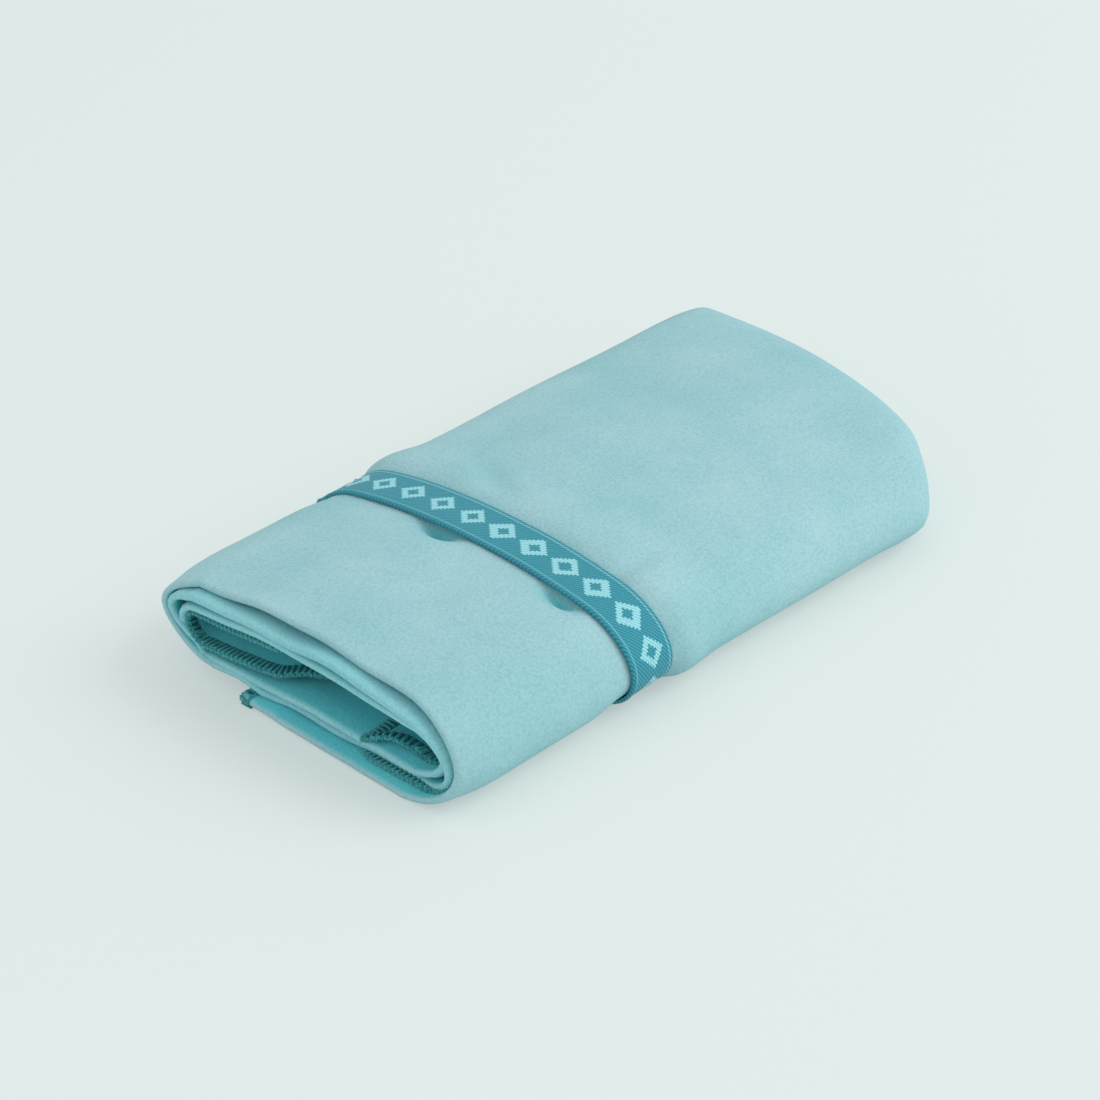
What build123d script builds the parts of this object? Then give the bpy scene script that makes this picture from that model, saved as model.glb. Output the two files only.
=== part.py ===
from build123d import *
import os
from math import cos, pi, radians, sin

# A quick-dry travel towel: one sheet of brushed microfibre, folded in three across its width, rolled
# flat along its length and held by a woven elastic loop.
# The roll lies along X, with its open end at -X and the smooth fold at +X. +Z is up. The origin is in
# the middle of the face that the roll rests on. Sizes are in millimetres.

# The cloth
cloth_length = 1300.0  # rolled up
cloth_width = 800.0  # folded in three
ply = 1.15  # one layer of cloth with its nap
# The roll
turn_count = 9  # half turns, the outermost one round the -Y side
air = 0.4  # between one run of the roll and the next
flap_share = 0.68  # of the last run, which the outer end of the cloth covers
crown = 0.28  # how much lower the roll is at its sides than along its middle
# The overlock thread round the cloth's edges
hem_width = 4.5
hem_setback = 7.0  # from a free side edge to the fold beside it
thread_clearance = 0.15
# The elastic loop, which squeezes the open end of the roll
band_width = 18.0
band_thickness = 1.2
band_from_end = 71.5
band_clearance = 0.4
lap_angle = 35.0  # half of the arc where the ends of the elastic overlap
pinch_length = 2.0  # beside the elastic's far edge, where the runs are pressed together
# The bar tacks that join the ends of the elastic
tack_angles = (-22.0, 0.0, 22.0)
tack_half_angle = 1.6
tack_stand = 0.3  # above and below the face of the elastic
tack_inset = 2.0  # from the edges of the elastic
# The care label, caught in the hem of the open end
label_width = 16.0
label_length = 30.0
label_thickness = 0.16
label_run = 3  # the run of the roll that it lies against, counted from the core

stack = 3 * ply
half = stack / 2
pitch = stack + air
roll_length = cloth_width / 3
near_end = -roll_length / 2
far_end = roll_length / 2
turned_length = pi * pitch / 2 * turn_count * (turn_count + 1) / 2
run = (cloth_length - turned_length) / (turn_count + flap_share)
outer_radius = turn_count * pitch / 2 + half
roll_height = 2 * outer_radius
roll_width = run + 2 * outer_radius - pitch / 2
right_y = outer_radius - roll_width / 2
left_y = right_y + run
right_z = outer_radius
left_z = outer_radius + pitch / 2
flap_y = right_y + flap_share * run
squeeze = band_thickness + band_clearance
band_start = near_end + band_from_end
shoulder = band_start + band_width + band_clearance
loose_start = shoulder + pinch_length


def placed(y, z, lift=0.0):
    """A point of the plain roll, crowned, and drawn in by lift all round as the elastic does it."""
    crowned = z * (1 - crown * (2 * y / roll_width) ** 2)
    return (0, y * (1 - 2 * lift / roll_width), lift + crowned * (1 - 2 * lift / roll_height))


def heading(y, z, sign, lift):
    """The direction of a run at a point of the plain roll."""
    slope = -8 * crown * y * z / roll_width**2
    return (
        0,
        sign * (1 - 2 * lift / roll_width),
        sign * slope * (1 - 2 * lift / roll_height),
    )


def run_height(index, offset):
    """How high a run lies in the plain roll. An offset is outwards from the middle of the stack."""
    if (turn_count - index) % 2 == 0:
        return right_z - index * pitch / 2 - offset
    return left_z + index * pitch / 2 + offset


def run_line(start_y, end_y, z, lift):
    """A straight run, which the crown bends into a parabola, except the one that lies flat."""
    start, end = placed(start_y, z, lift), placed(end_y, z, lift)
    slope = -8 * crown * start_y * z / roll_width**2
    if abs(slope) < 1e-9:
        return Line(start, end)
    middle_z = start[2] + slope * (1 - 2 * lift / roll_height) * (end_y - start_y) / 2
    return Bezier(start, (0, (start[1] + end[1]) / 2, middle_z), end)


def side_arc(y, z, radius, start, end, lift, joined=True):
    """Part of a turn about (y, z), from one angle to another. Both its ends can join level runs."""
    angles = [radians(start + (end - start) * step / 8) for step in range(9)]
    spots = [(y + radius * cos(angle), z + radius * sin(angle)) for angle in angles]
    points = [placed(*spot, lift) for spot in spots]
    if not joined:
        return Spline(*points)
    ends = [heading(*spots[0], -sin(angles[0]), lift), heading(*spots[-1], -sin(angles[-1]), lift)]
    return Spline(*points, tangents=ends)


def turn(index, offset, lift):
    """The turn that leads into a run."""
    radius = index * pitch / 2 + offset
    if (turn_count - index) % 2 == 0:
        return side_arc(right_y, right_z, radius, 90, 270, lift)
    return side_arc(left_y, left_z, radius, -90, 90, lift)


def run_ends(index, trim):
    """Where a run starts and ends. The first and last runs are trimmed by the width of their hems."""
    start, end = (right_y, left_y) if (turn_count - index) % 2 == 0 else (left_y, right_y)
    step = 1 if end > start else -1
    if index == 0:
        start += step * trim
    if index == turn_count:
        end = flap_y - trim
    return start, end


def spiral(offset, lift, trim):
    """The line of the whole roll at one offset, from its core to its outer end."""
    lines = []
    for index in range(turn_count + 1):
        if index:
            lines.append(turn(index, offset, lift))
        lines.append(run_line(*run_ends(index, trim), run_height(index, offset), lift))
    return lines


def ribbon(inner, outer, start, length, lift=0.0, trim=hem_width):
    """The roll between two offsets, with the given length along X."""
    inside, outside = spiral(inner, lift, trim), spiral(outer, lift, trim)
    core = Line(inside[0] @ 0, outside[0] @ 0)
    flap = Line(inside[-1] @ 1, outside[-1] @ 1)
    face = Face(Wire([*inside, flap, *outside, core]))
    return Pos(start, 0, 0) * extrude(face, length, dir=(1, 0, 0))


def strip(index, start_y, end_y, inner, outer, start, length, lift=0.0):
    """A piece of one run between two offsets."""
    low, high = run_height(index, inner), run_height(index, outer)
    inside, outside = run_line(start_y, end_y, low, lift), run_line(start_y, end_y, high, lift)
    sides = [Line(inside @ 0, outside @ 0), Line(inside @ 1, outside @ 1)]
    face = Face(Wire([inside, outside, *sides]))
    return Pos(start, 0, 0) * extrude(face, length, dir=(1, 0, 0))


def outline(lift):
    """The closed line round the roll, where the elastic bridges the step beside the outer end."""
    top = run_height(turn_count - 1, half)
    right = side_arc(right_y, right_z, outer_radius, 90, 270, lift)
    left = side_arc(left_y, left_z, outer_radius - pitch / 2, -90, 90, lift)
    base = Line(right @ 1, placed(flap_y, 0, lift))
    bridge = Line(base @ 1, left @ 0)
    return Face(Wire([right, base, bridge, left, run_line(left_y, right_y, top, lift)]))


def lap(inner_lift, outer_lift, start_angle, end_angle, inset):
    """A piece of the elastic's width on the left side of the roll, between two lines round it."""
    radius = outer_radius - pitch / 2
    inside = side_arc(left_y, left_z, radius, start_angle, end_angle, inner_lift, joined=False)
    outside = side_arc(left_y, left_z, radius, start_angle, end_angle, outer_lift, joined=False)
    sides = [Line(inside @ 0, outside @ 0), Line(inside @ 1, outside @ 1)]
    face = Face(Wire([inside, outside, *sides]))
    return Pos(band_start + inset, 0, 0) * extrude(face, band_width - 2 * inset, dir=(1, 0, 0))


def pinch():
    """The runs pressed together, except round the hems that cross the roll."""
    block = Pos(shoulder, 0, 0) * extrude(outline(band_clearance), pinch_length, dir=(1, 0, 0))
    reach = half + air / 4
    for ends in (hem_ends(0), hem_ends(turn_count)):
        block -= strip(*ends, -reach, reach, shoulder, pinch_length, squeeze)
    return block


def towel_cloth():
    """The sheet as it is rolled: three plies, with a free edge left short of the fold at each end."""
    squeezed = ribbon(-half, half, near_end, shoulder - near_end, squeeze)
    loose = ribbon(-half, half, loose_start, far_end - loose_start)
    pocket = hem_setback + hem_width
    rebate = ribbon(-half - air / 4, -ply / 2, near_end, pocket, squeeze, trim=0)
    slot = ribbon(-ply / 2, ply / 2, far_end - ply - pocket, pocket, trim=0)
    return (squeezed - rebate) + pinch() + (loose - slot)


def near_side_hem():
    """Overlock thread on the inner ply's free edge, which shows in the open end of every turn."""
    inner, outer = -half + thread_clearance, -ply / 2 - thread_clearance
    return ribbon(inner, outer, near_end + hem_setback, hem_width, squeeze)


def far_side_hem():
    """Overlock thread on the middle ply's free edge, hidden inside the fold of the closed end."""
    reach = ply / 2 - thread_clearance
    return ribbon(-reach, reach, far_end - ply - hem_setback - hem_width, hem_width)


def hem_ends(index):
    """The first or last run, and where its hem starts and ends on it."""
    if index:
        return index, flap_y - hem_width, flap_y
    start, end = run_ends(0, 0)
    return index, start, start + (hem_width if end > start else -hem_width)


def end_hem(index):
    """Overlock thread across one end of the cloth, which follows its three plies and both folds."""
    hem = hem_ends(index)

    def piece(inner, outer, start, end):
        ends = (inner + thread_clearance, outer - thread_clearance)
        pieces = []
        if start < loose_start:
            pieces.append(strip(*hem, *ends, start, min(end, loose_start) - start, squeeze))
        if end > loose_start:
            first = max(start, loose_start)
            pieces.append(strip(*hem, *ends, first, end - first))
        return pieces

    middle = piece(-ply / 2, ply / 2, near_end, far_end - ply - hem_setback)
    outer = piece(ply / 2, half, near_end, far_end)
    inner = piece(-half, -ply / 2, near_end + hem_setback, far_end)
    near_fold = piece(-ply / 2, half, near_end, near_end + ply)
    far_fold = piece(-half, half, far_end - ply, far_end)
    step = piece(-half, half, loose_start - ply, loose_start + ply)
    first, *others = [*middle, *outer, *inner, *near_fold, *far_fold, *step]
    return first.fuse(*others)


def outer_end_hem():
    """The hem of the flap under the roll."""
    return end_hem(turn_count)


def inner_end_hem():
    """The hem in the core of the roll."""
    return end_hem(0)


def elastic_band():
    """The woven loop, whose ends overlap on the left side."""
    ring = outline(0) - outline(band_thickness)
    loop = Pos(band_start, 0, 0) * extrude(ring, band_width, dir=(1, 0, 0))
    return loop + lap(band_thickness / 2, -band_thickness, -lap_angle, lap_angle, 0)


def band_join_stitching():
    """Bar tacks through the overlap of the elastic."""
    low, high = tack_stand - band_thickness, -tack_stand - band_thickness
    tacks = [
        lap(low, high, angle - tack_half_angle, angle + tack_half_angle, tack_inset)
        for angle in tack_angles
    ]
    return Compound(children=tacks)


def care_label():
    """A blank satin label, whose edge is caught in the overlock of the open end."""
    middle = -half - air / 2
    return strip(
        label_run,
        -label_width / 2,
        label_width / 2,
        middle - label_thickness / 2,
        middle + label_thickness / 2,
        near_end + hem_setback,
        label_length,
        squeeze,
    )


os.makedirs("parts", exist_ok=True)
for make in (
    towel_cloth,
    near_side_hem,
    far_side_hem,
    outer_end_hem,
    inner_end_hem,
    elastic_band,
    band_join_stitching,
    care_label,
):
    export_step(make(), f"parts/{make.__name__}.step")
print("roll", round(roll_length, 1), round(roll_width, 1), round(roll_height, 1), "run", round(run, 1))
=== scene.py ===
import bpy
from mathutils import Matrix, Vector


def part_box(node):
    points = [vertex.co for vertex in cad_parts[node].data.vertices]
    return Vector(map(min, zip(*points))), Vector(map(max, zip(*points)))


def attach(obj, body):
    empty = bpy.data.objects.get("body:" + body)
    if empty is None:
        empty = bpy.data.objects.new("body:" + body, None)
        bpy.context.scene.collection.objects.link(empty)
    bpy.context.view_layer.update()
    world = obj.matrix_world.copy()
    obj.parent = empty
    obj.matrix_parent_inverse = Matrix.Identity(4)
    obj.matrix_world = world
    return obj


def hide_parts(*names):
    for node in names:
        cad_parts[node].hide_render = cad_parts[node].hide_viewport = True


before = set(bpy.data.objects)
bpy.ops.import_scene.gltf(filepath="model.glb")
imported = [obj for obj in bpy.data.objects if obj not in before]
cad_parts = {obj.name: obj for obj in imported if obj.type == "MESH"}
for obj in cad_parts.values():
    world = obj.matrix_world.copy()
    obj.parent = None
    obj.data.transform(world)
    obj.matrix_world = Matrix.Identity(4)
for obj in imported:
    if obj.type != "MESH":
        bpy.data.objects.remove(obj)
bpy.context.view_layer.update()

import math

import bpy
import numpy as np
from mathutils import Vector, geometry


# ---------------------------------------------------------------------------
# View
# A long lens from above the open end, so that the roll lies across the picture
# from the lower left to the upper right.
# ---------------------------------------------------------------------------

aim = Vector((-0.0056, 0.0122, 0.0))
heading, tilt, distance = math.radians(-48.43), math.radians(31.94), 0.8777
camera = bpy.data.objects.new("camera", bpy.data.cameras.new("camera"))
bpy.context.scene.collection.objects.link(camera)
camera.location = aim + distance * Vector(
    (math.sin(heading) * math.cos(tilt), -math.cos(heading) * math.cos(tilt), math.sin(tilt))
)
camera.rotation_euler = (aim - camera.location).to_track_quat("-Z", "Y").to_euler()
camera.data.sensor_width = 36
camera.data.lens = 88.13
camera.data.clip_start = 0.01
bpy.context.scene.camera = camera
bpy.context.scene.view_settings.view_transform = "Standard"


# ---------------------------------------------------------------------------
# Towel cloth
# One sheet of brushed microfibre, 800 mm wide and 1300 mm long. It is folded in three
# across its width, so every run of the roll has three plies, and then rolled flat.
# Runs are counted from the core outward; odd ones are under the core, run 9 is the flap.
# ---------------------------------------------------------------------------

low, high = [1000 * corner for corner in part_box("towel_cloth")]
near_end, far_end = low.x, high.x
roll_width, roll_height = high.y - low.y, high.z
ply = 1.15  # one layer of cloth with its nap
stacking = [9, 7, 5, 3, 1, 0, 2, 4, 6, 8]  # the runs, from the resting face up
pitch = roll_height / 9.9  # from one run to the next: ten runs, pressed a little into each other
flap_end = 18.73  # where the cloth's outer end lies, in path places
far_inset = [24, 24, 16, 16, 9, 9, 4, 4, 0, 0]  # how far short of the far end each run tapers off
inner_inset = 7  # how much shorter the inner runs' far folds are than that
loft = 1.1  # of a near fold, which isn't pressed
squeeze = 1.6  # of the elastic into the roll
band_low, band_high = [1000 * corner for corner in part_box("elastic_band")]


def smooth(t):
    t = np.clip(t, 0, 1)
    return t * t * (3 - 2 * t)


def bump(t):
    """1 at t = 0, falling to nothing at about t = 2 on either side."""
    return np.exp(-np.square(t))


def rounded(t):
    """The fall of a quarter circle: 0 at t = 0, and steep as t nears 1."""
    return 1 - np.sqrt(1 - np.square(np.clip(t, 0, 0.97)))


def knots(p, table):
    """A value along the path, from a table of path place and value."""
    return np.interp(p, [row[0] for row in table], [row[1] for row in table])


# How far each fold and each hem lies behind the near end, in mm, along the path.
near_folds = [
    (0, 30), (6, 30), (6.5, 22), (7, 12), (7.5, 3), (8, 1), (9, 1), (9.5, 5), (10, 4), (11, 4),
    (11.5, 2), (12, 0), (13, 0), (13.5, 3), (14, 6), (14.6, 6), (14.75, 4), (15, 3), (15.5, 3),
    (16, 4.5), (17, 4.5), (17.5, 3), (18, 0), (18.8, 2),
]
near_hems = [
    (0, 34), (6, 32), (6.3, 26), (6.47, 16.6), (6.52, 14), (6.58, 11.6), (6.65, 6.5), (6.73, 4.8),
    (6.85, 3.7), (7.5, 4), (8, 3), (8.38, 3), (8.5, 12), (9, 14), (9.5, 12), (10, 9), (10.08, 9),
    (10.14, 6.5), (10.2, 2.5), (10.22, 2.5), (10.27, 30), (11, 30), (11.5, 16), (12, 12), (13, 12),
    (13.5, 13), (14, 14), (15, 14), (15.5, 13), (16, 12), (17, 12), (17.4, 4.5), (18, 4),
    (18.19, 4), (18.3, 8), (18.8, 8),
]


# Where the elastic's near edge tucks the cloth in: along, across, depth and half length.
tucks = [(-62.6, 6.5, 4.5, 6.5), (-63.2, -42.5, 4.0, 5.5)]


# The creases that the elastic draws in the top: along, across, slope, half length, half breadth, depth.
creases = [
    (-36, -48.5, 0, 9, 2.2, 1.9), (-31, 14, 0.4, 4.5, 12, 1.8),
    (-88, -16, 0.2, 14, 12, 1.3), (-8, 30, 0.3, 9, 16, 0.9),
]


def tuck(x, y, at_x, at_y, depth, size):
    """How much of a tuck's depth a point has."""
    return np.exp(-np.square((x - at_x) / (0.6 * size)) - np.square((y - at_y) / size))


def path_y(p, half_right, half_left, side_right, side_left):
    """Across the roll: the run that p is on, where p lies, and its outward direction there."""
    run = np.minimum(p // 2, 9).astype(int)
    even = run % 2 == 0
    t = np.clip(p - 2 * run, 0, 1)
    turned = np.pi * np.clip(p - 2 * run - 1, 0, 1)
    right, left = -(half_right - side_right), half_left - side_left
    y = np.where(even, left + (right - left) * t, right + (left - right) * t)
    out_y = np.where(even, -np.sin(turned), np.sin(turned))
    out_z = np.where(even, np.cos(turned), -np.cos(turned))
    return run, y, out_y, out_z


def place(p, w):
    """Where the cloth lies, in mm. p counts runs and turns along its length: 2k to 2k + 1 is run k,
    and 2k + 1 to 2k + 2 the turn after it. w counts across its width: 0 to 1 the first panel,
    1 to 2 the near fold, 2 to 3 the outer panel, 3 to 4 the far fold, 4 to 5 the last panel."""
    p, w = np.broadcast_arrays(np.asarray(p, float), np.asarray(w, float))
    _, rough_y, rough_out, _ = path_y(p, 71, 71, 18, 18)
    reach = rough_y + rough_out * 17  # across the roll, the same for every layer of a turn

    # along the roll: folds, panels and hems
    near_fold = near_end + knots(p, near_folds)
    hem = near_end + knots(p, near_hems)
    end = far_end + 14.7 * reach / 71 - 43 * rounded((-reach - 20) / 70) - 10 * rounded((reach - 55) / 22)
    inset = knots(p, [(2 * k + s, far_inset[k]) for k in range(10) for s in (0, 1)])
    far_fold = end - inset - inner_inset * smooth((15.9 - p) / 0.5)
    near_turn = np.pi * np.clip(w - 1, 0, 1)
    far_turn = np.pi * np.clip(w - 3, 0, 1)
    # how deep the first panel's hem lies in the far fold
    tucked = 8 + 10 * smooth((p - 16.6) / 0.4) * smooth((18.6 - p) / 0.3)
    x = np.select(
        [w <= 1, w <= 2, w <= 3, w <= 4],
        [
            far_fold - ply - tucked + (near_fold + loft + tucked + ply - far_fold) * w,
            near_fold + loft * (1 - np.sin(near_turn)),
            near_fold + loft + (far_fold - ply - near_fold - loft) * (w - 2),
            far_fold - ply + ply * np.sin(far_turn),
        ],
        far_fold - ply + (hem - far_fold + ply) * (w - 4),
    )
    behind = x - near_end
    ahead = end - x
    out = np.select(
        [w <= 1, w <= 2, w <= 3, w <= 4],
        [-0.12 + 0 * w, ply * (1 - np.cos(near_turn)) / 2, ply + 0 * w, ply * np.cos(far_turn)],
        -ply - 0.1,
    )
    resting = np.clip(ply - out, 0, 3)  # how far the ply lies above the outer panel in the flap
    out = out + bump((x - near_fold) / 3.5) * np.where(w <= 1.5, -0.3, np.where(w <= 3, 0.2, 0))
    out = out + 0.8 * ((w > 1.5) & (w < 3.5) & (p > 15)) * bump((ahead - 9) / 8)
    last_turn = smooth((p - 16.7) / 0.35) * smooth((18.3 - p) / 0.3)
    out = out + 2.2 * last_turn * (w > 1.5) * smooth((3.9 - w) / 0.6) * smooth((60 - ahead) / 36)

    # the pile: how high each run lies, with fewer layers towards the far end
    heights = []
    total = np.zeros_like(p)
    for run in stacking:
        thick = pitch * smooth((ahead - far_inset[run] + 8) / 15)
        heights.append(total + thick / 2)
        total = total + thick
    order = np.argsort(stacking)
    heights = np.stack([heights[k] for k in order]) * (1 - 0.10 * bump((ahead + 4) / 26))

    # across the roll
    half_right = 68 + 10 * smooth(behind / 220) - 4 * bump((behind + 2) / 10)
    half_left = 63.5 - 5.5 * bump((behind + 2) / 16) - 3.5 * smooth((behind - 60) / 190)
    half_right = half_right - 30 * rounded((42 - ahead) / 44)
    half_left = half_left - 22 * rounded((36 - ahead) / 38)
    run, y, out_y, out_z = path_y(p, half_right, np.where(p > 18, 66, half_left), 19, 17.2)
    here = np.take_along_axis(heights, run[None], 0)[0]
    after = np.take_along_axis(heights, np.minimum(run + 1, 9)[None], 0)[0]
    on_turn = p - 2 * run > 1
    radius = np.abs(after - here) / 2
    y = y + np.where(on_turn, radius * out_y, 0)
    z = np.where(on_turn, (here + after) / 2 + radius * out_z, here)

    # loose plies at the open end
    open_end = smooth((18 - behind) / 18)
    last = w > 4
    z = z - 2.4 * open_end * last * bump((p - 8.2) / 0.45)
    z = z - 1.4 * open_end * last * bump((p - 6.8) / 0.5)
    z = z + 4.5 * open_end * last * bump((p - 10.13) / 0.06)
    wave = 0.55 * np.sin(y / 9.5 + 1.7 * run) + 0.35 * np.sin(y / 4.7 + 2.9 * run)
    z = z + wave * bump(behind / 20) * np.where((p > 11) & (p < 17.2), 1, 0.5)

    y = y + out_y * out
    z = z + out_z * out

    # the crown, the lifted left of the open end, the elastic's squeeze, and the slack beside it
    z = z * (1 - 0.28 * np.square(2 * y / roll_width))
    z = z * (1 - 0.15 * smooth((reach + 5) / 55) * bump(ahead / 28))
    raised = 2.2 * smooth((y - 16) / 10) + 0.35 * np.clip(y - 36, 0, None)
    z = z + raised * ((p > 11) & (p < 17)) * np.clip(1 - z / 30, 0, 1) * bump(behind / 45)
    start, stop = band_low.x, band_high.x
    gap = np.where(x < start, start - x, np.where(x > stop, x - stop, 0))
    held = bump(gap / np.where(x < start, 9, 2.6))
    slack = 0.028 * bump((x - stop - 6.5) / np.where(x < stop + 6.5, 4.5, 10))
    y = y * (1 + slack)
    y = y * (1 - squeeze * held / 70)
    z = roll_height / 2 + (z - roll_height / 2) * (1 - squeeze * held / 19)
    top = smooth((z - 15) / 15)
    z = z + 1.3 * top * bump((x - stop - 11) / 9)
    for dent in tucks:
        z = z - dent[2] * top * tuck(x, y, *dent)
    for at_x, at_y, slope, length, breadth, depth in creases:
        z = z - depth * top * bump((x - at_x - slope * (y - at_y)) / length) * bump((y - at_y) / breadth)

    # the slow waves that a soft cloth keeps
    slow = 0.45 * np.sin(x / 31 + 0.6 * np.sin(y / 23) + 1) * np.sin(y / 27 + 0.9)
    slow = slow + 0.25 * np.sin(x / 13 - y / 19 + 2)
    z = z + slow * top * (1 - held)

    # the table under the flap's plies and its hem
    floor = 0.55 + (p > 16.9) * 1.4 * resting + 0.75 * smooth((p - 18.5) / 0.12)
    return np.stack([x, y, np.maximum(z, floor)], -1)


# Steps along each run and turn, more of them on the outside and at the open end's loose plies.
run_steps = {8: 44, 9: 22, 7: 18, 6: 16, 5: 24, 4: 16, 3: 16}
turn_steps = {9: 22, 8: 22, 7: 12, 6: 12}
places = [0.0, 6.26, 6.48, 6.6, 10.19, 10.2, 10.215, 10.235, 10.25, 10.265, 10.28]
for k in range(10):
    length = 1 if k < 9 else flap_end - 18
    steps = run_steps.get(k, 12)
    places += [2 * k + length * (i + 1) / steps for i in range(steps)]
    if k < 9:
        steps = turn_steps.get(k + 1, 8)
        places += [2 * k + 1 + (i + 1) / steps for i in range(steps)]
places = np.array(sorted(set(places)))

# Steps across the sheet, more of them at its hems and folds and beside the elastic.
spans = [(0, 0), (0.5, 9), (0.84, 21), (1, 5), (2, 7), (2.05, 4), (2.22, 8), (2.42, 27), (2.86, 13), (3, 8)]
spans += [(4, 6), (4.54, 6), (4.84, 11), (5, 10)]
across = np.concatenate([
    np.linspace(start, stop, steps + 1)[:-1] for (start, _), (stop, steps) in zip(spans[:-1], spans[1:])
] + [[5.0]])
cloth_points = place(places[:, None], across[None, :])


def lengths_along(points):
    """How far along a line each of its points lies."""
    return np.concatenate([[0], np.cumsum(np.linalg.norm(np.diff(points, axis=0), axis=1))])


def grid_mesh(name, points, lengths, widths, closed=False):
    """A mesh over a grid of points in mm, with a UV map in metres along and across the piece."""
    rows, columns = points.shape[:2]
    turn = rows if closed else rows - 1
    faces = [
        (i * columns + j, (i + 1) % rows * columns + j, (i + 1) % rows * columns + j + 1, i * columns + j + 1)
        for i in range(turn)
        for j in range(columns - 1)
    ]
    mesh = bpy.data.meshes.new(name)
    mesh.from_pydata((points.reshape(-1, 3) / 1000).tolist(), [], faces)
    map_uv = mesh.uv_layers.new(name="cloth")
    steps = [(i, j) for i in range(turn) for j in range(columns - 1)]
    flat = []
    for i, j in steps:
        flat += [(lengths[i + u], widths[j + v]) for u, v in ((0, 0), (1, 0), (1, 1), (0, 1))]
    map_uv.data.foreach_set("uv", (np.array(flat) / 1000).ravel())
    mesh.polygons.foreach_set("use_smooth", [True] * len(mesh.polygons))
    piece = bpy.data.objects.new(name, mesh)
    bpy.context.scene.collection.objects.link(piece)
    return piece


def apply_modifiers(piece):
    """The piece's mesh as its modifiers leave it, and no modifiers."""
    made = bpy.data.meshes.new_from_object(piece.evaluated_get(bpy.context.evaluated_depsgraph_get()))
    piece.modifiers.clear()
    piece.data = made
    made.polygons.foreach_set("use_smooth", [True] * len(made.polygons))


cloth_lengths, cloth_widths = lengths_along(place(places, 2.5)), lengths_along(place(16.5, across))
towel = grid_mesh("towel", cloth_points, cloth_lengths, cloth_widths)

# Painted shade: how far inside the folds each part lies, from 0 on the outside of the roll to 1, which paints
# the cloth a deeper teal there, fading out towards the far end.
in_run, in_width = np.broadcast_arrays(places[:, None], across[None, :])
at_x, at_y = cloth_points[..., 0], cloth_points[..., 1]
inside = np.select(
    [in_width < 1, in_width < 2, in_width < 3.5],
    [1.0, 0.95 * smooth((1.4 - in_width) / 0.4), 0.0],
    smooth((in_width - 3.8) / 0.4),
)
inside = np.where((in_run < 14.9) & (in_width > 1) & (in_width < 3.5), np.maximum(inside, 0.35), inside)
inside = inside * smooth((115 - at_x) / 20)
# Painted shade in the elastic's tucks on the top runs, too.
for dent in tucks:
    inside = inside + 0.9 * (in_run > 15) * (in_run < 17.5) * (inside < 0.3) * tuck(at_x, at_y, *dent)
fold_shade_paint = towel.data.attributes.new("in_the_folds", "FLOAT", "POINT")
fold_shade_paint.data.foreach_set("value", inside.astype(np.float32).ravel())
thickness = towel.modifiers.new("thickness", "SOLIDIFY")
thickness.thickness = 0.001
thickness.offset = 0
apply_modifiers(towel)


def srgb(code):
    """A hex colour as the linear numbers that a shader takes."""
    parts = [int(code[i : i + 2], 16) / 255 for i in (0, 2, 4)]
    return [c / 12.92 if c <= 0.04045 else ((c + 0.055) / 1.055) ** 2.4 for c in parts] + [1]


def add(tree, kind, inputs=(), **settings):
    """A node of that kind with its settings, its inputs given as values or as the sockets that feed them."""
    node = tree.nodes.new(kind)
    for name, value in settings.items():
        setattr(node, name, value)
    for name, value in dict(inputs).items():
        if isinstance(value, bpy.types.NodeSocket):
            tree.links.new(value, node.inputs[name])
        else:
            node.inputs[name].default_value = value
    return node


def dye(ramp, *stops):
    """Sets a colour ramp's two stops, each a place and a hex colour."""
    for stop, (place_on_ramp, code) in zip(ramp.color_ramp.elements, stops):
        stop.position, stop.color = place_on_ramp, srgb(code)


def material(name):
    """An empty material, its node tree, and its output node."""
    made = bpy.data.materials.new(name)
    made.use_nodes = True
    made.node_tree.nodes.clear()
    return made, made.node_tree, made.node_tree.nodes.new("ShaderNodeOutputMaterial")


# Brushed microfibre: matt, with a short suede nap that is stroked a little lighter and darker
# in patches, and a fine grain where tufts of nap lie together, about 1.2 mm apart. Inside the folds and tucks
# its colour is painted a deeper, more saturated teal as shade.
suede, tree, shown = material("brushed_microfibre")
lying = add(tree, "ShaderNodeTexCoord").outputs["Object"]
strokes = add(tree, "ShaderNodeTexNoise", {"Vector": lying, "Scale": 28.0, "Detail": 3.0, "Roughness": 0.55})
tufts = add(tree, "ShaderNodeTexNoise", {"Vector": lying, "Scale": 1100.0, "Detail": 3.0, "Roughness": 0.6})
patches = add(tree, "ShaderNodeValToRGB", {"Fac": strokes.outputs["Fac"]})
dye(patches, (0.35, "97C6CC"), (0.65, "A5CDD3"))
grain = add(tree, "ShaderNodeValToRGB", {"Fac": tufts.outputs["Fac"]})
dye(grain, (0.3, "E4EEEE"), (0.6, "FFFFFF"))
fold_shade_amount = add(tree, "ShaderNodeAttribute", attribute_name="in_the_folds").outputs["Fac"]
# Painted shade: the colour turns a deeper, more saturated teal where the cloth lies inside the folds.
fold_shaded_tone = add(tree, "ShaderNodeMix", {
    "Factor": fold_shade_amount, 6: patches.outputs["Color"], 7: srgb("66D2DC"),
}, data_type="RGBA").outputs[2]
tone = add(tree, "ShaderNodeMix", {
    "Factor": 1.0, 6: fold_shaded_tone, 7: grain.outputs["Color"],
}, data_type="RGBA", blend_type="MULTIPLY")
relief = add(tree, "ShaderNodeBump", {"Height": tufts.outputs["Fac"], "Strength": 0.35, "Distance": 0.0004})
surface = add(tree, "ShaderNodeBsdfPrincipled", {
    "Base Color": tone.outputs[2], "Roughness": 0.95, "Specular IOR Level": 0.1,
    "Sheen Weight": 0.08, "Sheen Roughness": 0.5, "Sheen Tint": srgb("C8E6EA"),
    "Normal": relief.outputs["Normal"],
})
tree.links.new(surface.outputs["BSDF"], shown.inputs["Surface"])
towel.data.materials.append(suede)

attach(towel, "towel")
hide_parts("towel_cloth")


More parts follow.
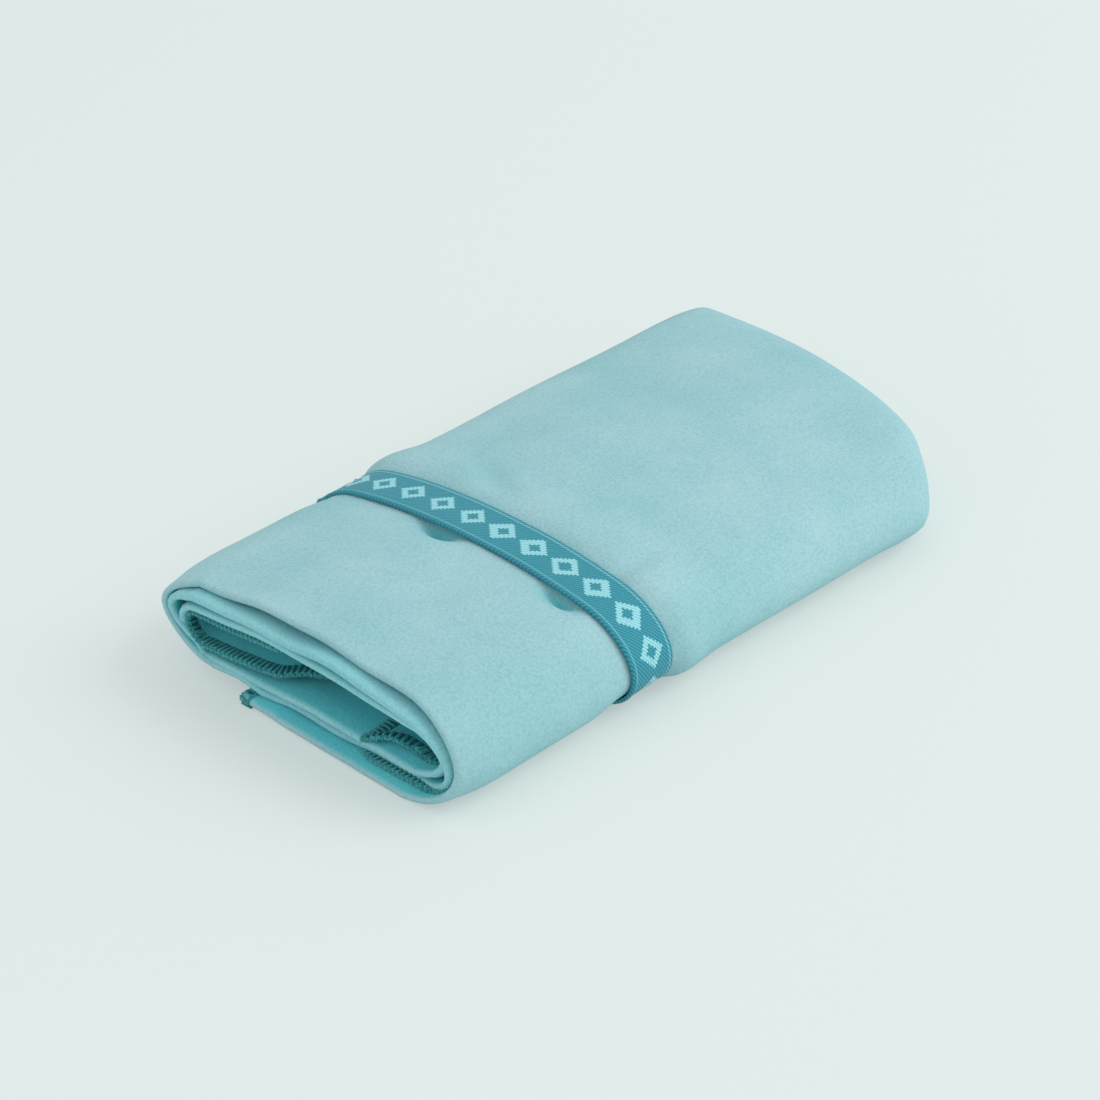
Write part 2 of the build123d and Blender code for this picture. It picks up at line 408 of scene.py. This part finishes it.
# ---------------------------------------------------------------------------
# Overlocked hems
# Dark teal polyester thread, sewn over all four raw edges of the sheet by a three-thread
# overlock: loops wind round the edge, lock there in a row of knots, and a straight row holds them.
# ---------------------------------------------------------------------------

hem_width, stitch_length, thread_across = 3.8, 1.8, 0.9

# Spun polyester thread: a low, soft shine, and fibres that break its colour up. The thread is drawn
# 0.9 mm thick, over twice the real one, so that it shows.
thread, tree, shown = material("overlock_polyester_thread")
lying = add(tree, "ShaderNodeTexCoord").outputs["Object"]
fibres = add(tree, "ShaderNodeTexNoise", {"Vector": lying, "Scale": 900.0, "Detail": 2.0})
dyed = add(tree, "ShaderNodeValToRGB", {"Fac": fibres.outputs["Fac"]})
dye(dyed, (0.3, "1F8288"), (0.7, "45A7AA"))
relief = add(tree, "ShaderNodeBump", {"Height": fibres.outputs["Fac"], "Strength": 0.3, "Distance": 0.0002})
surface = add(tree, "ShaderNodeBsdfPrincipled", {
    "Base Color": dyed.outputs["Color"], "Roughness": 0.65, "Specular IOR Level": 0.3,
    "Sheen Weight": 0.2, "Normal": relief.outputs["Normal"],
})
tree.links.new(surface.outputs["BSDF"], shown.inputs["Surface"])

# The same thread laid close under the loops, with its colour painted darker as the shade that the loops cast
# on it.
shade_darkened_thread, tree, shown = material("laid_polyester_thread")
lying = add(tree, "ShaderNodeTexCoord").outputs["Object"]
fibres = add(tree, "ShaderNodeTexNoise", {"Vector": lying, "Scale": 1200.0, "Detail": 2.0})
dyed = add(tree, "ShaderNodeValToRGB", {"Fac": fibres.outputs["Fac"]})
dye(dyed, (0.35, "136A74"), (0.7, "26848C"))
relief = add(tree, "ShaderNodeBump", {"Height": fibres.outputs["Fac"], "Strength": 0.6, "Distance": 0.0003})
surface = add(tree, "ShaderNodeBsdfPrincipled", {
    "Base Color": dyed.outputs["Color"], "Roughness": 0.8, "Specular IOR Level": 0.2,
    "Normal": relief.outputs["Normal"],
})
tree.links.new(surface.outputs["BSDF"], shown.inputs["Surface"])

stitches = bpy.data.node_groups.new("overlock_stitches", "GeometryNodeTree")
for name, kind in (
    ("Geometry", "NodeSocketGeometry"),
    ("Stitch Length", "NodeSocketFloat"), ("Hem Width", "NodeSocketFloat"),
    ("Half Thickness", "NodeSocketFloat"), ("Thread", "NodeSocketFloat"), ("Material", "NodeSocketMaterial"),
):
    stitches.interface.new_socket(name, in_out="INPUT", socket_type=kind)
stitches.interface.new_socket("Geometry", in_out="OUTPUT", socket_type="NodeSocketGeometry")
given = add(stitches, "NodeGroupInput").outputs
radius = add(stitches, "ShaderNodeMath", {0: given["Thread"], 1: 2.0}, operation="DIVIDE").outputs[0]
half_hem = add(stitches, "ShaderNodeMath", {0: given["Hem Width"], 1: 2.0}, operation="DIVIDE").outputs[0]
winding = add(stitches, "GeometryNodeCurveSpiral", {
    "Resolution": 10, "Rotations": 1.0, "Start Radius": half_hem, "End Radius": half_hem,
    "Height": given["Stitch Length"],
})
wound_at = add(stitches, "GeometryNodeInputPosition").outputs[0]
at = add(stitches, "ShaderNodeSeparateXYZ", {0: wound_at}).outputs
below = add(stitches, "ShaderNodeMath", {0: given["Half Thickness"], 1: -1.0}, operation="MULTIPLY")
flat = add(stitches, "ShaderNodeClamp", {
    "Value": at["Y"], "Min": below.outputs[0], "Max": given["Half Thickness"],
}).outputs[0]
moved = add(stitches, "ShaderNodeMath", {0: at["X"], 1: half_hem}, operation="ADD").outputs[0]
flattened = add(stitches, "ShaderNodeCombineXYZ", {"X": moved, "Y": flat, "Z": at["Z"]}).outputs[0]
loop = add(stitches, "GeometryNodeSetPosition", {"Geometry": winding.outputs[0], "Position": flattened})
row_start = add(stitches, "ShaderNodeCombineXYZ", {"X": given["Hem Width"], "Y": given["Half Thickness"]})
row_stop = add(stitches, "ShaderNodeCombineXYZ", {
    "X": given["Hem Width"], "Y": given["Half Thickness"], "Z": given["Stitch Length"],
})
row = add(stitches, "GeometryNodeCurvePrimitiveLine", {
    "Start": row_start.outputs[0], "End": row_stop.outputs[0],
})
lines = add(stitches, "GeometryNodeJoinGeometry")
for part in (loop, row):
    stitches.links.new(part.outputs[0], lines.inputs[0])
section = add(stitches, "GeometryNodeCurvePrimitiveCircle", {"Resolution": 5, "Radius": radius}).outputs[0]
tubes = add(stitches, "GeometryNodeCurveToMesh", {
    "Curve": lines.outputs[0], "Profile Curve": section, "Fill Caps": True,
})
knot_size = add(stitches, "ShaderNodeMath", {0: given["Thread"], 1: 0.85}, operation="MULTIPLY").outputs[0]
knot = add(stitches, "GeometryNodeMeshIcoSphere", {"Radius": knot_size, "Subdivisions": 1})
stitch = add(stitches, "GeometryNodeJoinGeometry")
for part in (tubes, knot):
    stitches.links.new(part.outputs[0], stitch.inputs[0])
along, inward = [
    add(stitches, "GeometryNodeInputNamedAttribute", {"Name": name}, data_type="FLOAT_VECTOR").outputs[0]
    for name in ("along", "inward")
]
turned = add(stitches, "FunctionNodeAxesToRotation", {
    "Primary Axis": along, "Secondary Axis": inward,
}, primary_axis="Z", secondary_axis="X").outputs[0]
row_of = add(stitches, "GeometryNodeInstanceOnPoints", {
    "Points": given["Geometry"], "Instance": stitch.outputs[0], "Rotation": turned,
}).outputs[0]
sewn = add(stitches, "GeometryNodeRealizeInstances", {0: row_of}).outputs[0]
dyed_in = add(stitches, "GeometryNodeSetMaterial", {"Geometry": sewn, "Material": given["Material"]})
add(stitches, "NodeGroupOutput", {"Geometry": dyed_in.outputs[0]})


def set_inputs(modifier, **values):
    """Sets a Geometry Nodes modifier's inputs, which are named by their sockets' identifiers."""
    for item in modifier.node_group.interface.items_tree:
        label = item.name.replace(" ", "_").lower()
        if item.in_out == "INPUT" and label in values:
            modifier[item.identifier] = values[label]


def sewn_line(name, edge, inside, body, step, width, half_thickness, thick, knots_out=0.3, sleeve=True):
    """Stitches along a line of points in mm, reaching towards the points inside it, and the sleeve
    of laid thread under them."""
    lengths = lengths_along(edge)
    count = int(lengths[-1] / step)
    at = (np.arange(count) + 0.5) * lengths[-1] / count

    def spread(points):
        return np.stack([np.interp(at, lengths, points[:, axis]) for axis in range(3)], -1)

    points, inner = spread(edge), spread(inside)
    along = np.gradient(points, axis=0)
    along /= np.linalg.norm(along, axis=1)[:, None]
    inward = inner - points
    inward -= along * np.sum(inward * along, axis=1)[:, None]
    inward /= np.linalg.norm(inward, axis=1)[:, None]
    mesh = bpy.data.meshes.new(name)
    mesh.from_pydata(((points - knots_out * inward) / 1000).tolist(), [], [])
    for label, value in (("along", along), ("inward", inward)):
        directions = mesh.attributes.new(label, "FLOAT_VECTOR", "POINT")
        directions.data.foreach_set("vector", value.astype(np.float32).ravel())
    piece = bpy.data.objects.new(name, mesh)
    bpy.context.scene.collection.objects.link(piece)
    sewing = piece.modifiers.new("stitches", "NODES")
    sewing.node_group = stitches
    set_inputs(
        sewing, stitch_length=1.04 * step / 1000, hem_width=width / 1000,
        half_thickness=half_thickness / 1000, thread=thick / 1000, material=thread,
    )
    apply_modifiers(piece)
    if sleeve:
        raised = np.cross(along, inward)
        rim = [(width, 0.56), (0.6, 0.6), (0.05, 0.4), (-0.12, 0), (0.05, -0.4), (0.6, -0.6), (width, -0.56)]
        laid = np.stack([points + inward * reach + raised * lift for reach, lift in rim], 1)
        cover_lengths = np.append(lengths, 0)[: count + 1]
        cover = grid_mesh(name + "_sleeve", laid[:, ::-1], cover_lengths, np.arange(len(rim)))
        # The sleeve takes the thread whose darker colour is painted shade.
        cover.data.materials.append(shade_darkened_thread)
        chosen = {"active_object": piece, "object": piece, "selected_editable_objects": [piece, cover]}
        with bpy.context.temp_override(**chosen):
            bpy.ops.object.join()
    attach(piece, body)
    return piece


def hem(name, edge, inside):
    """One overlocked edge of the sheet, pressed flat where it lies on the table."""
    piece = sewn_line(
        name, edge, inside, "towel", stitch_length, hem_width, 0.8, thread_across
    )
    spots = np.array([vertex.co for vertex in piece.data.vertices])
    spots[:, 2] = np.maximum(spots[:, 2], 0.00002)
    piece.data.vertices.foreach_set("co", spots.ravel())
    return piece


fine = np.linspace(0.0, flap_end, 2400)
width_in = hem_width / 260
near_side = hem("near_side_stitches", place(fine, 5.0), place(fine, 5.0 - width_in))
far_side = hem("far_side_stitches", place(fine, 0.0), place(fine, width_in))
across_fine = np.linspace(0.0, 5.0, 1200)
outer_end = hem("outer_end_stitches", place(flap_end, across_fine), place(flap_end - 0.04, across_fine))
inner_end = hem("inner_end_stitches", place(0.0, across_fine), place(0.04, across_fine))
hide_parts("near_side_hem")
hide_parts("far_side_hem")
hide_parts("outer_end_hem")
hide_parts("inner_end_hem")


# ---------------------------------------------------------------------------
# Elastic band
# Woven jacquard elastic, 18 mm wide and 1.2 mm thick, sewn into a loop. It has a ribbed face
# with a lighter woven motif, and a thick corded selvedge on each side. It slides off the roll.
# ---------------------------------------------------------------------------

band_start, band_stop = band_low.x, band_high.x
band_thick, band_clearance = 1.2, 0.7  # the clearance counts from the middle of the cloth's thickness
cord = 1.5  # width of the selvedge's cord
around, under_band = np.linspace(14, flap_end, 400), np.linspace(2.24, 2.36, 9)
skin = np.concatenate([place(around, w) for w in under_band])
skin = skin[(skin[:, 0] > band_start - 0.5) & (skin[:, 0] < band_stop + 0.5)][:, 1:]
hull = skin[geometry.convex_hull_2d([Vector(point) for point in skin])]
middle = hull.mean(0)
hull = hull[np.argsort(np.unwrap(np.arctan2(hull[:, 1] - middle[1], hull[:, 0] - middle[0])))]


def even_loop(points, count):
    """A closed loop of points, spaced evenly, and its length."""
    closed = np.vstack([points, points[:1]])
    lengths = lengths_along(closed)
    at = np.arange(count) * lengths[-1] / count
    return np.stack([np.interp(at, lengths, closed[:, axis]) for axis in range(2)], -1), lengths[-1]


loop, loop_length = even_loop(hull, 300)
for _ in range(30):
    loop = 0.5 * loop + 0.25 * (np.roll(loop, 1, 0) + np.roll(loop, -1, 0))
tangent = np.roll(loop, -1, 0) - np.roll(loop, 1, 0)
tangent /= np.linalg.norm(tangent, axis=1)[:, None]
outward = np.stack([tangent[:, 1], -tangent[:, 0]], -1)

# The section: across the band and out from the roll, anticlockwise from its inner far edge.
half_thick = band_thick / 2
inner_face = [(band_stop - (band_stop - band_start) * s, 0.0) for s in np.linspace(0, 1, 13)]
near_cord = [
    (band_start + cord / 2 * (1 - math.sin(math.pi * turn)), half_thick * (1 - math.cos(math.pi * turn)))
    for turn in np.linspace(0.25, 0.75, 4)
]
ribs = (
    (0.5, 0.1), (1.5, 0.0), (1.9, -0.22), (2.4, -0.22), (5, -0.12), (9, -0.1), (13, -0.12),
    (15.6, -0.22), (16.1, -0.22), (16.5, 0.0), (17.5, 0.1),
)
outer_face = [(band_start + s, band_thick + lift) for s, lift in ribs]
far_cord = [
    (band_stop - cord / 2 * (1 - math.sin(math.pi * turn)), half_thick * (1 - math.cos(math.pi * turn)))
    for turn in np.linspace(0.75, 0.25, 4)
]
profile = np.array(inner_face + near_cord + outer_face + far_cord + inner_face[:1])

# The lap: one end of the elastic lies over the other at the roll's left side.
spot = np.arange(len(loop))
lapped = np.argmax(loop[:, 0])
lap_at = 1.1 * smooth((spot - lapped + 18) / 10) * (spot < lapped + 8)


def off_roll(out):
    """The loop's points, moved out from the roll by that much."""
    return loop + outward * (band_clearance + out + lap_at * (out > 0.3))[:, None]


band_points = np.stack([
    np.column_stack([np.full(len(loop), x), off_roll(out)]) for x, out in profile
], 1)
band_lengths = np.arange(len(loop) + 1) * loop_length / len(loop)
band = grid_mesh("elastic", band_points, band_lengths, profile[:, 0] - band_start, closed=True)
doubles = band.modifiers.new("close", "WELD")
doubles.merge_threshold = 0.00001
apply_modifiers(band)

# Woven polyester and rubber: matt and ribbed, darker ground threads and lighter ones that float over
# them as diamonds. Its threads are drawn 0.9 mm apart, about twice as coarse as real, to show.
woven, tree, shown = material("woven_jacquard_elastic")
mapped = add(tree, "ShaderNodeUVMap", uv_map="cloth").outputs[0]
parts = add(tree, "ShaderNodeSeparateXYZ", {0: mapped}).outputs
thread_pitch, motif_pitch, motif_half, middle_line = 0.0009, 0.0125, 0.0052, 0.009
pattern = {"along": parts["X"], "over": parts["Y"]}
for name, operation, *terms in (
    ("run_at", "SNAP", "along", thread_pitch),
    ("over_at", "SNAP", "over", thread_pitch),
    ("shifted", "SUBTRACT", "run_at", 0.004),
    ("repeat", "WRAP", "shifted", motif_pitch, 0.0),
    ("off_motif", "SUBTRACT", "repeat", motif_pitch / 2),
    ("beside", "ABSOLUTE", "off_motif"),
    ("sideways", "DIVIDE", "beside", motif_half),
    ("off_middle", "SUBTRACT", "over_at", middle_line),
    ("above", "ABSOLUTE", "off_middle"),
    ("upright", "DIVIDE", "above", motif_half),
    ("reach", "ADD", "sideways", "upright"),
    ("solid", "LESS_THAN", "reach", 1.0),
    ("hollow", "GREATER_THAN", "reach", 0.45),
    ("diamond", "MULTIPLY", "solid", "hollow"),
    ("from_middle", "SUBTRACT", "over", middle_line),
    ("to_edge", "ABSOLUTE", "from_middle"),
    ("past_face", "GREATER_THAN", "to_edge", 0.0072),
    ("before_cord", "LESS_THAN", "to_edge", 0.0077),
    ("piped", "MULTIPLY", "past_face", "before_cord"),
    ("half_piped", "MULTIPLY", "piped", 0.5),
    ("motif", "MAXIMUM", "diamond", "half_piped"),
):
    terms = {i: pattern[term] if isinstance(term, str) else term for i, term in enumerate(terms)}
    pattern[name] = add(tree, "ShaderNodeMath", terms, operation=operation).outputs[0]
slanted = add(tree, "ShaderNodeVectorRotate", {"Vector": mapped, "Angle": 0.9}, rotation_type="Z_AXIS")
twill = add(tree, "ShaderNodeTexWave", {
    "Vector": slanted.outputs[0], "Scale": 0.314 / thread_pitch, "Distortion": 0.6, "Detail": 1.0,
    "Detail Scale": 300.0,
})
ground = add(tree, "ShaderNodeValToRGB", {"Fac": twill.outputs["Fac"]})
dye(ground, (0.2, "1F8193"), (0.8, "3E9DAE"))
light = add(tree, "ShaderNodeValToRGB", {"Fac": twill.outputs["Fac"]})
dye(light, (0.2, "7FC8D2"), (0.8, "A2E0E8"))
face_tone = add(tree, "ShaderNodeMix", {
    "Factor": pattern["motif"], 6: ground.outputs["Color"], 7: light.outputs["Color"],
}, data_type="RGBA")
relief = add(tree, "ShaderNodeBump", {"Height": twill.outputs["Fac"], "Strength": 0.6, "Distance": 0.0002})
surface = add(tree, "ShaderNodeBsdfPrincipled", {
    "Base Color": face_tone.outputs[2], "Roughness": 0.7, "Specular IOR Level": 0.3, "Sheen Weight": 0.1,
    "Normal": relief.outputs["Normal"],
})
tree.links.new(surface.outputs["BSDF"], shown.inputs["Surface"])
band.data.materials.append(woven)
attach(band, "band")
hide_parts("elastic_band")


# ---------------------------------------------------------------------------
# Band join
# Dark teal polyester thread. Three bar tacks, each sewn from selvedge to selvedge, hold the
# elastic's overlapping ends together at the left side of the roll.
# ---------------------------------------------------------------------------

tack_spacing = 4  # in points of the loop
tack_inset = 2.2  # from each selvedge
tack_stitch, tack_width, tack_half_thick, tack_thread = 0.7, 2.0, 0.25, 0.5
tack_face = off_roll(band_thick + 0.05)
tack_row = np.linspace(band_start + tack_inset, band_stop - tack_inset, 60)
for number in range(3):
    at = lapped + (number - 1) * tack_spacing
    spots = np.array([(x, *tack_face[at]) for x in tack_row])
    down = np.array([0.0, *tangent[at]])
    tack = sewn_line(
        f"bar_tack_{number}", spots, spots + down, "band",
        tack_stitch, tack_width, tack_half_thick, tack_thread, knots_out=0, sleeve=False,
    )
    if number == 1:
        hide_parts("band_join_stitching")


# ---------------------------------------------------------------------------
# Care label
# A blank strip of white satin ribbon, 16 mm wide and 30 mm long. One end is caught in the
# near side's hem, and the rest lies flat between two plies of the roll.
# ---------------------------------------------------------------------------

label_along, label_into = np.linspace(6.78, 6.95, 9)[:, None], np.linspace(0.985, 0.872, 16)[None, :]
label_points = (place(label_along, 4 + label_into) + place(label_along, label_into)) / 2
label = grid_mesh("label", label_points, np.linspace(0, 16, 9), np.linspace(0, 30, 16))
wall = label.modifiers.new("thickness", "SOLIDIFY")
wall.thickness = 0.00014
wall.offset = 0
apply_modifiers(label)

# Polyester satin ribbon: smooth, with a faint shine across its fine weft, drawn about 0.8 mm apart.
satin, tree, shown = material("woven_satin_ribbon")
mapped = add(tree, "ShaderNodeUVMap", uv_map="cloth").outputs[0]
weft = add(tree, "ShaderNodeTexWave", {
    "Vector": mapped, "Scale": 400.0, "Distortion": 0.4,
}, bands_direction="Y")
relief = add(tree, "ShaderNodeBump", {"Height": weft.outputs["Fac"], "Strength": 0.3, "Distance": 0.0001})
surface = add(tree, "ShaderNodeBsdfPrincipled", {
    "Base Color": srgb("EEF1EF"), "Roughness": 0.4, "Specular IOR Level": 0.5,
    "Normal": relief.outputs["Normal"],
})
tree.links.new(surface.outputs["BSDF"], shown.inputs["Surface"])
label.data.materials.append(satin)
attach(label, "towel")
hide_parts("care_label")


# ---------------------------------------------------------------------------
# Floor and light
# A pale matt table under an even sky, with one large soft lamp and a small fill at the open end.
# ---------------------------------------------------------------------------

table_mesh = bpy.data.meshes.new("table")
table_mesh.from_pydata([(-6, -6, 0), (6, -6, 0), (6, 6, 0), (-6, 6, 0)], [], [(0, 1, 2, 3)])
table = bpy.data.objects.new("table", table_mesh)
bpy.context.scene.collection.objects.link(table)

# Matt paint, with no shine. Half of what the camera sees of it is its own even colour.
painted, tree, shown = material("pale_matt_table")
surface = add(tree, "ShaderNodeBsdfPrincipled", {
    "Base Color": srgb("E0EBE9"), "Roughness": 0.9, "Specular IOR Level": 0.1,
})
ray = add(tree, "ShaderNodeLightPath").outputs
seen = ray["Is Camera Ray"]
for other in (ray["Is Glossy Ray"], ray["Is Transmission Ray"]):
    seen = add(tree, "ShaderNodeMath", {0: seen, 1: other}, operation="MAXIMUM").outputs[0]
share = add(tree, "ShaderNodeMath", {0: seen, 1: 0.5}, operation="MULTIPLY").outputs[0]
pale = add(tree, "ShaderNodeEmission", {"Color": srgb("DFEAE8"), "Strength": 1.0}).outputs[0]
mixed = add(tree, "ShaderNodeMixShader", {0: share, 1: surface.outputs["BSDF"], 2: pale}).outputs[0]
tree.links.new(mixed, shown.inputs["Surface"])
table.data.materials.append(painted)

sky = bpy.data.worlds.new("sky")
bpy.context.scene.world = sky
sky.use_nodes = True
sky.node_tree.nodes["Background"].inputs["Color"].default_value = (1, 1, 1, 1)
sky.node_tree.nodes["Background"].inputs["Strength"].default_value = 0.74

for name, size, energy, spot in (
    ("lamp", 2.6, 62, Vector((1.7, -2.1, 2.3))),
    ("fill", 1.2, 3, Vector((-1.8, 0.1, 0.75))),
):
    lamp = bpy.data.objects.new(name, bpy.data.lights.new(name, "AREA"))
    bpy.context.scene.collection.objects.link(lamp)
    lamp.data.shape, lamp.data.size, lamp.data.energy = "SQUARE", size, energy
    lamp.location = spot
    lamp.rotation_euler = (-spot).to_track_quat("-Z", "Y").to_euler()
